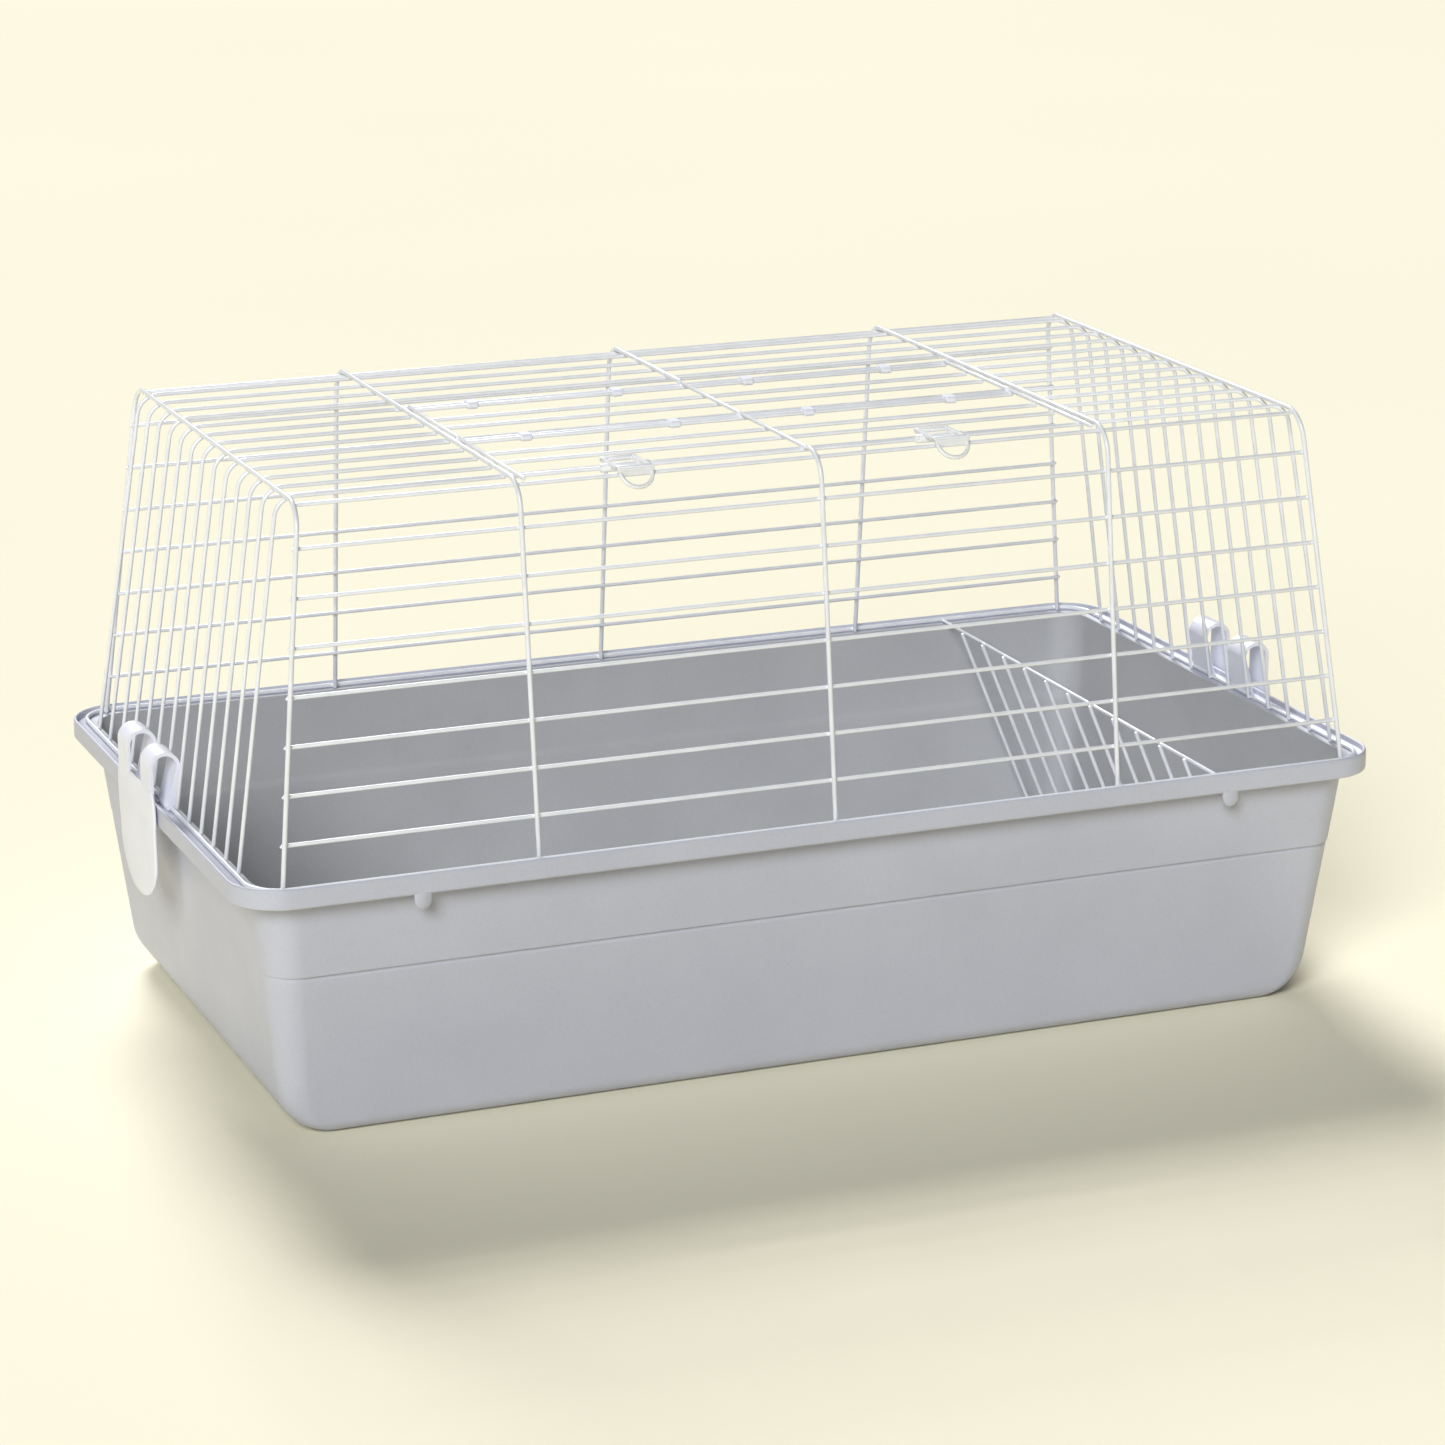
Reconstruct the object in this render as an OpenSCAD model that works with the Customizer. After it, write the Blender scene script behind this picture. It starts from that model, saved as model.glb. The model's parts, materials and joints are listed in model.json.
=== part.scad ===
// Wire rabbit cage: plastic tray, welded wire top, folding roof door, rim clips and a hay rack.
// Millimetres, +Z up, origin at the centre of the tray's underside. X is the length, -Y is the front.

/* [Tray] */
// Length over the rim
rim_length = 1000; // [700:10:1200]
// Width over the rim
rim_width = 572; // [420:2:700]
// Height of the rim's top edge
rim_top = 224; // [160:1:280]
// Height of the rim's outer lip
lip_height = 17; // [8:1:30]
// Thickness of the lip
lip_thick = 3; // [2:0.5:5]
// Depth of the ledge below the rim's top edge
ledge_drop = 5; // [3:0.5:8]
// Thickness of the walls and the floor
wall = 2.6; // [1.8:0.1:4]
// Half length of the floor, measured to where the end walls would meet it
floor_half_length = 455.5; // [300:0.5:560]
// Half width of the floor, measured to where the long walls would meet it
floor_half_width = 240; // [180:0.5:320]
// Outward lean of the end walls, run over rise
end_lean = 0.1208; // [0:0.01:0.3]
// Outward lean of the long walls, run over rise
side_lean = 0.142; // [0:0.01:0.3]
// Radius between the floor and the end walls
end_fillet = 42; // [10:1:60]
// Radius between the floor and the long walls
side_fillet = 15; // [5:1:30]
// Corner radius of the walls at the floor, seen from above
wall_corner = 20; // [15:1:50]
// Height of the step line on the long walls
step_height = 142; // [80:1:180]
// How far the wall stands out above the step line
step_out = 1.6; // [0:0.1:3]
// Distance of the rim tabs from the middle
tab_offset = 354; // [200:1:450]

/* [Wire top] */
// Height of the hoops' roof centreline
roof_height = 518; // [400:1:700]
// Diameter of the hoops, the base wire and the hinge bar
hoop_wire = 4; // [3:0.2:6]
// Diameter of the thin wires
thin_wire = 3.4; // [1.6:0.1:3.4]
// Bend radius of the hoops
bend = 25; // [20:1:40]
// Bend radius of the long wires
end_bend = 18; // [14:1:24]
// Half length of the base wire
base_half_length = 487; // [300:1:600]
// Half width of the base wire
base_half_width = 278; // [180:1:340]
// Distance of an end hoop's foot from the middle
end_foot = 464; // [300:1:560]
// Distance of an end hoop's roof from the middle
end_roof = 433; // [280:1:540]
// Distance of a door hoop from the middle
door_hoop = 254; // [150:1:320]
// Half width between the hoops' feet
hoop_foot = 274.3; // [180:0.1:340]
// Half width where a hoop's leg would meet its roof
hoop_shoulder = 241.8; // [160:0.2:320]
// Spacing of the long wires on the roof
roof_pitch = 34.3; // [20:0.1:50]
// Spacing of the end uprights at their feet
foot_pitch = 36.7; // [20:0.1:50]
// Distance of the end uprights' feet from the middle
upright_foot = 484; // [300:1:560]
// Where an end upright would meet the roof
upright_shoulder = 439.5; // [280:0.5:540]
// Number of horizontal wires in a long panel
panel_wires = 7; // [4:1:9]
// Height of the lowest horizontal wire
panel_low = 253.7; // [235:0.1:300]
// Spacing of the horizontal wires
panel_pitch = 37.98; // [25:0.1:50]

/* [Roof door] */
// Diameter of the leaves' wires
leaf_wire = 3.4; // [2.4:0.1:4]
// Half length of the door leaves
leaf_half_length = 246; // [150:1:300]
// Distance between the hinge bar and the rear leaf's edge wire
rear_hinge_gap = 8; // [7.8:0.1:12]
// Distance between the fold wire and the front leaf's edge wire
fold_hinge_gap = 7; // [6:0.1:12]
// Half spacing of the rear leaf's infill wires
rear_infill = 17; // [10:1:30]
// Spacing between the front leaf's first infill wire and its edge wire
front_infill_first = 47.9; // [30:0.1:60]
// Spacing of the front leaf's infill wires
front_infill_pitch = 34.3; // [20:0.1:50]

/* [Latches] */
// Width of the sleeve on which a latch turns
latch_width = 42; // [34:1:60]
// Width of a latch's frame and lip
lip_width = 30; // [30:0.5:34]
// Centre of the left latch
latch_left_x = -153; // [-200:1:-50]
// Centre of the right latch
latch_right_x = 120; // [50:1:200]
// Centreline radius of a latch's finger loop
loop_radius = 13.2; // [11:0.1:13.2]

/* [Rim clips] */
// Half width of a clip's plate
clip_half_width = 59; // [54:1:80]
// Height of the plate's top edge
clip_top = 236; // [230:1:245]
// Height of the plate's bottom edge
clip_bottom = 136; // [100:1:180]
// Width of a clip's arms, which pass between the uprights
arm_width = 30; // [15:1:32]
// Outer radius of an arm's arch
arch_radius = 13; // [10:1:16]

/* [Hay rack] */
// Distance of the rack's top bar from the middle
rack_top_x = 344.5; // [200:0.5:400]
// Lean of the rack, run over rise
rack_lean = 0.415; // [0.2:0.01:0.6]
// Height of the rack's bottom bar
rack_bottom = 10; // [10:0.5:30]
// Diameter of the rack's bars
rack_wire = 3.2; // [2.4:0.1:5]
// Spacing of the slats
slat_pitch = 44.8; // [25:0.1:45]

/* [Hidden] */
$fn = 48;

tray_grey = [0.66, 0.67, 0.70];
wire_white = [0.93, 0.93, 0.94];
clip_white = [0.97, 0.97, 0.97];

// Overlap that stands for a weld
weld = 0.2;
// A bend is this much thicker all round than its straights, which run this far into it
swell = 0.02;
run_in = 0.5;
// Half sizes over the rim
rim_half_length = rim_length / 2;
rim_half_width = rim_width / 2;
ledge = rim_top - ledge_drop;
lip_bottom = rim_top - lip_height;
rim_corner = 44;
corner_steps = 7;
floor_steps = 7;
// The walls' corner radius grows by this much for each millimetre of height
corner_growth = 0.06;

// Wire centrelines
base_height = ledge + hoop_wire / 2 + 0.05;
hoop_foot_height = ledge + 0.4;
hoop_lean = (hoop_foot - hoop_shoulder) / (roof_height - hoop_foot_height);
long_height = roof_height - hoop_wire / 2 - thin_wire / 2 + weld;
upright_foot_height = ledge + 0.6;
upright_lean = (upright_foot - upright_shoulder) / (long_height - upright_foot_height);

// The end hoops rest on the outside of the long wires' bends
end_bend_x = upright_shoulder - end_bend * tan((90 - atan(upright_lean)) / 2);
end_bend_z = long_height - end_bend;
end_hoop_reach = end_bend + (hoop_wire + thin_wire) / 2 - weld;
end_height = end_bend_z + sqrt(pow(end_hoop_reach, 2) - pow(end_roof - end_bend_x, 2));
end_hoop_lean = (end_foot - end_roof) / (end_height - hoop_foot_height);
panel_inset = (hoop_wire + thin_wire) / 2 - weld + 0.018;
// The two long bends' own wires lie inside the hoops' bends
bend_start = 219.3;
corner_wire_radius = bend - panel_inset;
corner_wire_turn = 23.5;
corner_wire_y = bend_start + corner_wire_radius * sin(corner_wire_turn);
corner_wire_z = roof_height - bend + corner_wire_radius * cos(corner_wire_turn);

// Roof door
hinge_y = 2 * roof_pitch;
hinge_z = roof_height - hoop_wire / 2 - hoop_wire / 2 + weld;
fold_y = -hinge_y;
latch_y = -6 * roof_pitch;
side_z = hinge_z + leaf_wire - weld;
rear_edge_y = hinge_y - rear_hinge_gap;
front_edge_y = fold_y - fold_hinge_gap;
knuckle_places = [-190, -60, 60, 190];
knuckle_width = 9;
running = 0.05;

// Rim clips
pivot_x = base_half_length;
clip_shift = foot_pitch / 2;
arm_step = foot_pitch;
plate_inner = 501.8;
plate_thick = 3;
eye_radius = 4.5;
arch_top = 269;

// Hay rack
rack_top_z = ledge + rack_wire / 2 + 0.2;
rack_bottom_x = rack_top_x + rack_lean * (rack_top_z - rack_bottom);
rack_half = 5 * slat_pitch;

// A point between two others
function between(a, b, t) = a + (b - a) * t;

// Distance of a leaning, filleted wall from the middle at a height above its floor
function wall_at(z, half, lean, fillet) =
    let (slope = sqrt(1 + lean * lean), centre = half + lean * fillet - fillet * slope)
    z < fillet * (1 - lean / slope)
        ? centre + sqrt(fillet * fillet - (fillet - z) * (fillet - z))
        : half + lean * z;

// One level of the tray as [half length, half width, corner radius, height], moved in by t
function tray_level(z, t) =
    let (
        in_x = t * (end_lean - sqrt(1 + end_lean * end_lean)),
        in_y = t * (side_lean - sqrt(1 + side_lean * side_lean)),
        length_here = wall_at(z - t, floor_half_length + in_x, end_lean, end_fillet - t),
        width_here = wall_at(z - t, floor_half_width + in_y, side_lean, side_fillet - t),
        lift = z > step_height ? step_out : 0,
        straight = floor_half_width + in_y + side_lean * (z - t)
    )
    [length_here, width_here + lift, wall_corner + corner_growth * z - (straight - width_here) - t / 2, z];

// A level of the rim, measured inward from its outer face
function rim_level(inset, z) =
    [rim_half_length - inset, rim_half_width - inset, rim_corner - inset, z];

// The points of one rounded rectangle
function ring_points(level) = [
    for (quarter = [0:3], step = [0:corner_steps])
        let (
            turn = 90 * (quarter + step / corner_steps),
            x = level[0] - level[2],
            y = level[1] - level[2]
        )
        [
            (quarter == 0 || quarter == 3 ? x : -x) + level[2] * cos(turn),
            (quarter < 2 ? y : -y) + level[2] * sin(turn),
            level[3]
        ]
];

// Skin over a stack of levels, closed at both ends
module loft(levels) {
    count = 4 * (corner_steps + 1);
    last = len(levels) - 1;
    points = [for (level = levels) each ring_points(level)];
    sides = [
        for (i = [0:last - 1], j = [0:count - 1])
            let (a = i * count + j, b = i * count + (j + 1) % count)
            each [[a, a + count, b], [b, a + count, b + count]]
    ];
    first_cap = [for (j = [0:count - 1]) j];
    last_cap = [for (j = [0:count - 1]) last * count + count - 1 - j];
    polyhedron(points, concat(sides, [first_cap, last_cap]));
}

// Straight wire between two points
module rod(a, b, d) {
    v = b - a;
    translate(a)
        rotate([0, acos(v[2] / norm(v)), atan2(v[1], v[0])])
            cylinder(d = d, h = norm(v));
}

// Length of straight wire that a bend takes from each side of a corner
function setback(a, p, b, r) =
    let (u = (p - a) / norm(p - a), w = (b - p) / norm(b - p))
    r * tan(acos(u * w) / 2);

// Bend of a wire at corner p, coming from a and leaving to b
module wire_bend(a, p, b, r, d) {
    u = (p - a) / norm(p - a);
    w = (b - p) / norm(b - p);
    turn = acos(u * w);
    n = (w - u * (u * w)) / norm(w - u * (u * w));
    k = cross(-n, u);
    c = p - u * setback(a, p, b, r) + n * r;
    multmatrix([
        [-n[0], u[0], k[0], c[0]],
        [-n[1], u[1], k[1], c[1]],
        [-n[2], u[2], k[2], c[2]],
        [0, 0, 0, 1]
    ])
        rotate_extrude(angle = turn)
            translate([r, 0])
                circle(d = d + 2 * swell);
}

// Wire through a list of points with a bend at each inner one
module wire_path(points, r, d) {
    last = len(points) - 1;
    for (i = [0:last - 1]) {
        a = points[i];
        b = points[i + 1];
        along = (b - a) / norm(b - a);
        cut_a = i == 0 ? 0 : setback(points[i - 1], a, b, r) - run_in;
        cut_b = i == last - 1 ? 0 : setback(a, b, points[i + 2], r) - run_in;
        rod(a + along * cut_a, b - along * cut_b, d);
    }
    for (i = [1:last - 1])
        wire_bend(points[i - 1], points[i], points[i + 1], r, d);
}

// Straight wire along X
module rod_x(x0, x1, y, z, d) {
    rod([x0, y, z], [x1, y, z], d);
}

// Straight wire along Y
module rod_y(y0, y1, x, z, d) {
    rod([x, y0, z], [x, y1, z], d);
}

module rim_tab(x, side) {
    tab_radius = 7;
    translate([x, side * (rim_half_width - lip_thick / 2), lip_bottom - 5])
        rotate([90, 0, 0]) {
            cylinder(r = tab_radius, h = lip_thick - 0.4, center = true);
            translate([-tab_radius, 0, -(lip_thick - 0.4) / 2])
                cube([2 * tab_radius, 7, lip_thick - 0.4]);
        }
}

module tray() {
    under = ledge - wall;
    outside = concat(
        [for (i = [0:floor_steps]) tray_level(end_fillet * pow(i / floor_steps, 2), 0)],
        [for (z = [step_height - 0.6, step_height + 0.8, under]) tray_level(z, 0)]
    );
    rim = [
        rim_level(lip_thick, under),
        rim_level(lip_thick - 0.3, lip_bottom + 0.6),
        rim_level(lip_thick / 2, lip_bottom),
        rim_level(0.2, lip_bottom + 0.6),
        rim_level(0, lip_bottom + 2),
        rim_level(0, rim_top - 1.8),
        rim_level(0.5, rim_top - 0.6),
        rim_level(lip_thick / 2, rim_top),
        rim_level(lip_thick - 0.5, rim_top - 0.5),
        rim_level(lip_thick, rim_top - 1.8),
        rim_level(lip_thick, ledge + 0.5),
        rim_level(lip_thick + 0.5, ledge)
    ];
    lead_in = 1.2;
    edge = tray_level(ledge, wall);
    inside = concat(
        [[edge[0] + lead_in, edge[1] + lead_in, edge[2] + lead_in, ledge]],
        [for (z = [ledge - lead_in, step_height + 0.8, step_height - 0.6]) tray_level(z, wall)],
        [
            for (i = [floor_steps:-1:0])
                tray_level(wall + (end_fillet - wall) * pow(i / floor_steps, 2), wall)
        ]
    );
    color(tray_grey) {
        loft(concat(outside, rim, inside));
        for (x = [-tab_offset, tab_offset], side = [-1, 1])
            rim_tab(x, side);
    }
}

module base_frame_wire() {
    corner = 30;
    x = base_half_length - corner;
    y = base_half_width - corner;
    color(wire_white)
        translate([0, 0, base_height]) {
            for (side = [-1, 1]) {
                rod_x(-x, x, side * base_half_width, 0, hoop_wire);
                rod_y(-y, y, side * base_half_length, 0, hoop_wire);
            }
            for (quarter = [0:3])
                translate([(quarter == 0 || quarter == 3 ? x : -x), (quarter < 2 ? y : -y), 0])
                    rotate(90 * quarter)
                        rotate_extrude(angle = 90)
                            translate([corner, 0])
                                circle(d = hoop_wire);
        }
}

// Whole hoop whose feet stand at foot_x and whose roof lies at roof_x and height top
module hoop(foot_x, roof_x, top) {
    shoulder = hoop_foot - hoop_lean * (top - hoop_foot_height);
    color(wire_white)
        wire_path([
            [foot_x, hoop_foot, hoop_foot_height],
            [roof_x, shoulder, top],
            [roof_x, -shoulder, top],
            [foot_x, -hoop_foot, hoop_foot_height]
        ], bend, hoop_wire);
}

module end_hoop_left() {
    hoop(-end_foot, -end_roof, end_height);
}

module door_hoop_left() {
    hoop(-door_hoop, -door_hoop, roof_height);
}

// The middle hoop stops at the roof door: its front leg is a piece of its own
module middle_hoop() {
    rear_end = hinge_y - 1;
    front_end = -(bend_start - 3);
    color(wire_white) {
        wire_path([
            [0, hoop_foot, hoop_foot_height],
            [0, hoop_shoulder, roof_height],
            [0, rear_end, roof_height]
        ], bend, hoop_wire);
        wire_path([
            [0, -hoop_foot, hoop_foot_height],
            [0, -hoop_shoulder, roof_height],
            [0, front_end, roof_height]
        ], bend, hoop_wire);
    }
}

module door_hoop_right() {
    hoop(door_hoop, door_hoop, roof_height);
}

module end_hoop_right() {
    hoop(end_foot, end_roof, end_height);
}

// Horizontal wires of one long panel, welded to the inside of the hoops
module panel(side) {
    color(wire_white)
        for (i = [0:panel_wires - 1]) {
            z = panel_low + i * panel_pitch;
            x = end_foot - end_hoop_lean * (z - hoop_foot_height) + 1.5;
            y = hoop_foot - hoop_lean * (z - hoop_foot_height) - panel_inset;
            rod_x(-x, x, side * y, z, thin_wire);
        }
}

module front_panel_wires() {
    panel(-1);
}

module back_panel_wires() {
    panel(1);
}

module front_top_wire() {
    color(wire_white)
        rod_x(1.2 - end_roof, end_roof - 1.2, -corner_wire_y, corner_wire_z, thin_wire);
}

module back_top_wire() {
    color(wire_white)
        rod_x(1.2 - end_roof, end_roof - 1.2, corner_wire_y, corner_wire_z, thin_wire);
}

// Long wires behind the roof door, from one end's foot over the roof to the other
module roof_long_wires() {
    color(wire_white)
        for (row = [3:6])
            wire_path([
                [-upright_foot, row * foot_pitch, upright_foot_height],
                [-upright_shoulder, row * roof_pitch, long_height],
                [upright_shoulder, row * roof_pitch, long_height],
                [upright_foot, row * foot_pitch, upright_foot_height]
            ], end_bend, thin_wire);
}

// Wires of one end panel that stop at the door hoop
module end_wires(side) {
    color(wire_white)
        for (row = [-6:2]) {
            stop = door_hoop - (row == 2 ? 0 : 1.2);
            wire_path([
                [side * upright_foot, row * foot_pitch, upright_foot_height],
                [side * upright_shoulder, row * roof_pitch, long_height],
                [side * stop, row * roof_pitch, long_height]
            ], end_bend, thin_wire);
        }
}

module end_wires_left() {
    end_wires(-1);
}

module end_wires_right() {
    end_wires(1);
}

module door_hinge_bar() {
    half = door_hoop + 1.5;
    color(wire_white)
        rod_x(-half, half, hinge_y, hinge_z, hoop_wire);
}

// Two cross wires with two side wires welded on top
module leaf_frame(back_y, front_y, side_start, side_end) {
    cross_half = leaf_half_length + leaf_wire / 2;
    color(wire_white) {
        for (y = [back_y, front_y])
            rod_x(-cross_half, cross_half, y, hinge_z, leaf_wire);
        for (x = [-leaf_half_length, leaf_half_length])
            rod_y(side_start, side_end, x, side_z, leaf_wire);
    }
}

// Thin cross wires and the stiffener along the middle of a leaf
module leaf_infill(rows, start, end) {
    thin_z = side_z - (leaf_wire + thin_wire) / 2 + weld;
    color(wire_white) {
        for (y = rows)
            rod_x(-leaf_half_length - 1, leaf_half_length + 1, y, thin_z, thin_wire);
        rod_y(start, end, 0, side_z, leaf_wire);
    }
}

module rear_leaf_frame() {
    leaf_frame(rear_edge_y, fold_y, rear_edge_y + 0.6, fold_y - 0.9);
}

module rear_leaf_wires() {
    leaf_infill([rear_infill, -rear_infill], rear_edge_y + 0.6, fold_y - 0.9);
}

module front_leaf_frame() {
    leaf_frame(front_edge_y, latch_y, front_edge_y + 1, latch_y - 24);
}

module front_leaf_wires() {
    first = front_edge_y - front_infill_first;
    leaf_infill([first, first - front_infill_pitch], front_edge_y + 1, latch_y - 6);
}

// Moulded clips: a running eye on one wire and a grip on the other, gap away towards the front
module hinge_clips(y, gap, shaft) {
    eye = shaft / 2 + 1.7;
    grip = leaf_wire / 2 + 1.3;
    neck = 4.4;
    color(clip_white)
        for (x = knuckle_places)
            translate([x, y, hinge_z])
                rotate([0, 90, 0])
                    difference() {
                        union() {
                            cylinder(r = eye, h = knuckle_width, center = true);
                            translate([0, -gap, 0])
                                cylinder(r = grip, h = knuckle_width, center = true);
                            translate([-neck / 2, -gap, -knuckle_width / 2])
                                cube([neck, gap, knuckle_width]);
                        }
                        cylinder(r = shaft / 2 + running, h = 2 * knuckle_width, center = true);
                        translate([0, -gap, 0])
                            cylinder(r = leaf_wire / 2 + 0.02, h = 2 * knuckle_width, center = true);
                    }
}

module rear_hinge_clips() {
    hinge_clips(hinge_y, rear_hinge_gap, hoop_wire);
}

module fold_hinge_clips() {
    hinge_clips(fold_y, fold_hinge_gap, leaf_wire);
}

// Rocking latch on the front leaf's front wire: sleeve, two arms, cross bars, lip and loop
module latch(x) {
    half = lip_width / 2;
    arm = 4;
    arm_low = 1.4;
    arm_high = 5.2;
    bar_z = (arm_low + arm_high) / 2;
    bar_radius = 2.3;
    rear_bar = 15.8;
    front_bar = -20.5;
    lip_back = -24.6;
    lip_front = -27;
    lip_low = -2.6;
    loop_tilt = 50;
    loop_wire = 3.4;
    color(clip_white)
        translate([x, latch_y, hinge_z])
            difference() {
                union() {
                    rotate([0, 90, 0])
                        cylinder(r = 3.6, h = latch_width, center = true);
                    for (side = [-1, 1])
                        translate([side * (half - arm / 2) - arm / 2, front_bar, arm_low])
                            cube([arm, rear_bar - front_bar, arm_high - arm_low]);
                    for (y = [rear_bar, front_bar])
                        rod_x(-half, half, y, bar_z, 2 * bar_radius);
                    translate([-half, lip_front, arm_low])
                        cube([lip_width, front_bar - lip_front, arm_high - arm_low - 0.6]);
                    translate([-half, lip_front, lip_low])
                        cube([lip_width, lip_back - lip_front, arm_high - 2 - lip_low]);
                    translate([0, lip_front + 1, lip_low + 3])
                        rotate([loop_tilt, 0, 0])
                            rotate([0, 0, 180])
                                rotate_extrude(angle = 180)
                                    translate([loop_radius, 0])
                                        circle(d = loop_wire);
                }
                rotate([0, 90, 0])
                    cylinder(r = leaf_wire / 2 + running, h = 2 * latch_width, center = true);
            }
}

module latch_left() {
    latch(latch_left_x);
}

module latch_right() {
    latch(latch_right_x);
}

// Outline of a clip's plate seen from the end of the cage
function plate_outline(half) =
    let (lift = 41, steps = 16)
    concat(
        [[half, clip_top], [half - 4, clip_bottom + lift]],
        [
            for (i = [1:steps - 1])
                [(half - 4) * cos(180 * i / steps), clip_bottom + lift * (1 - sin(180 * i / steps))]
        ],
        [[4 - half, clip_bottom + lift], [-half, clip_top]]
    );

// Plate outside the rim: straight past the lip, then a slight outward sweep at the bottom
module clip_plate() {
    inner = [
        [plate_inner, clip_top + 1],
        [plate_inner, 206],
        [plate_inner - 0.6, 180],
        [plate_inner - 0.8, 150],
        [plate_inner, clip_bottom - 1]
    ];
    outer = [for (i = [len(inner) - 1:-1:0]) inner[i] + [plate_thick, 0]];
    intersection() {
        rotate([90, 0, 90])
            translate([0, 0, 480])
                linear_extrude(60)
                    polygon(plate_outline(clip_half_width));
        rotate([90, 0, 0])
            linear_extrude(4 * clip_half_width, center = true)
                polygon(concat(inner, outer));
    }
}

// Profile of one arm: up from the plate, over the arch and down inside to the base wire
module arm_profile() {
    thick = 3.2;
    centre = [plate_inner + plate_thick - arch_radius, arch_top - arch_radius];
    difference() {
        translate(centre)
            circle(r = arch_radius);
        translate(centre)
            circle(r = arch_radius - thick);
        translate([centre[0] - 30, centre[1] - 60])
            square([60, 60]);
    }
    translate([centre[0] + arch_radius - thick, clip_top - 10])
        square([thick, centre[1] - clip_top + 10]);
    polygon([
        [centre[0] - arch_radius, centre[1]],
        [centre[0] - arch_radius + thick, centre[1]],
        [pivot_x + 2.4, base_height + 3],
        [pivot_x - 2.4, base_height + 3]
    ]);
    translate([pivot_x, base_height])
        circle(r = eye_radius);
}

// The eye is open at the bottom so that it snaps over the base wire and clears the ledge
module clip_arm(y) {
    flat = 1.7;
    swing = 45;
    translate([0, y, 0])
        rotate([90, 0, 0])
            difference() {
                linear_extrude(arm_width, center = true)
                    arm_profile();
                translate([pivot_x, base_height, 0]) {
                    cylinder(r = hoop_wire / 2 + running, h = 2 * arm_width, center = true);
                    for (turn = [0, -swing])
                        rotate(turn)
                            translate([-10, -10 - flat, -arm_width])
                                cube([20, 10, 2 * arm_width]);
                }
            }
}

module clip() {
    color(clip_white)
        translate([0, -clip_shift, 0]) {
            clip_plate();
            for (side = [-1, 1])
                clip_arm(side * arm_step);
        }
}

module clip_left() {
    rotate(180)
        clip();
}

module clip_right() {
    clip();
}

module hay_rack_frame() {
    top_half = hoop_foot;
    bottom_half = rack_half + 1.2;
    color(wire_white) {
        rod_y(-top_half, top_half, rack_top_x, rack_top_z, rack_wire);
        rod_y(-bottom_half, bottom_half, rack_bottom_x, rack_bottom, rack_wire);
        for (side = [-1, 1])
            rack_slat(side * rack_half, rack_wire);
    }
}

// One sloping wire on the rack's open side
module rack_slat(y, d) {
    top = [rack_top_x, y, rack_top_z];
    foot = [rack_bottom_x, y, rack_bottom];
    along = (foot - top) / norm(foot - top);
    off = [along[2], 0, -along[0]] * ((rack_wire + d) / 2 - weld);
    rod(top + off - along * 1.2, foot + off + along * 0.6, d);
}

module hay_rack_slats() {
    color(wire_white)
        for (i = [-4:4])
            rack_slat(i * slat_pitch, thin_wire);
}

tray();
base_frame_wire();
end_hoop_left();
door_hoop_left();
middle_hoop();
door_hoop_right();
end_hoop_right();
front_panel_wires();
back_panel_wires();
front_top_wire();
back_top_wire();
roof_long_wires();
end_wires_left();
end_wires_right();
door_hinge_bar();
rear_leaf_frame();
rear_leaf_wires();
rear_hinge_clips();
front_leaf_frame();
front_leaf_wires();
fold_hinge_clips();
latch_left();
latch_right();
clip_left();
clip_right();
hay_rack_frame();
hay_rack_slats();
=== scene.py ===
"""The look of a wire rabbit cage: tray, wires, latches, clips and hay rack, placed from the frame."""

import json
import math

import bpy
from mathutils import Matrix, Vector


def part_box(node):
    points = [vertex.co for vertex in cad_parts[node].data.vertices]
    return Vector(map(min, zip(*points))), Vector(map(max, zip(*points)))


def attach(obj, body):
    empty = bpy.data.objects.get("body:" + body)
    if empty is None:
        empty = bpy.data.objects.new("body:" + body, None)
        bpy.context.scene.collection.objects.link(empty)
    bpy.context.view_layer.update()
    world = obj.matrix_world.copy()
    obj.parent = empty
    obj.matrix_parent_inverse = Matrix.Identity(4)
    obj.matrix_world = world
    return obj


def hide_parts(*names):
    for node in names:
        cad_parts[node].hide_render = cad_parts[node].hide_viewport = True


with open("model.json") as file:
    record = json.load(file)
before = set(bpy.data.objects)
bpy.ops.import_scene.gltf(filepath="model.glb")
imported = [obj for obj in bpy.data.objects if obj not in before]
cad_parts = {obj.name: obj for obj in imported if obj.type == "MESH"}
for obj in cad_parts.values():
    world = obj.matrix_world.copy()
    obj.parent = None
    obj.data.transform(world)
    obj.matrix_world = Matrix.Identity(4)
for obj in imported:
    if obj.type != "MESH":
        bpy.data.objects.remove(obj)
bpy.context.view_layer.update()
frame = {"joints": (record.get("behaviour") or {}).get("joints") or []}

# Wire sizes and bends, in metres, as in the CAD
HOOP_R = 0.002
THIN_R = 0.0017
LEAF_R = 0.0017
RACK_R = 0.0016
HOOP_BEND = 0.025
LONG_BEND = 0.018
BASE_CORNER = 0.030
HOOP_LEAN = 0.1088
UPRIGHT_LEAN = 0.1507
WELD = 0.0002
TUBE_SIDES = 14
BEND_STEPS = 12
# How a wire's end is rounded: places along it and widths there, as parts of the rounding and of the wire
END_ROUNDING = ((0, 0.62), (0.3, 0.88), (1, 1))

ALONG_X, ALONG_Y, ALONG_Z = Vector((1, 0, 0)), Vector((0, 1, 0)), Vector((0, 0, 1))
QUARTERS = ((1, 1), (-1, 1), (-1, -1), (1, -1))


# ---------------------------------------------------------------- places from the frame


def lo_hi(node):
    """The two far corners of a node's box."""
    low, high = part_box(node)
    return Vector(low), Vector(high)


def joint(name):
    """The place of a joint's axis."""
    for entry in frame["joints"]:
        if entry["name"] == name:
            return Vector(entry["pos_m"])
    raise KeyError(name)


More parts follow.
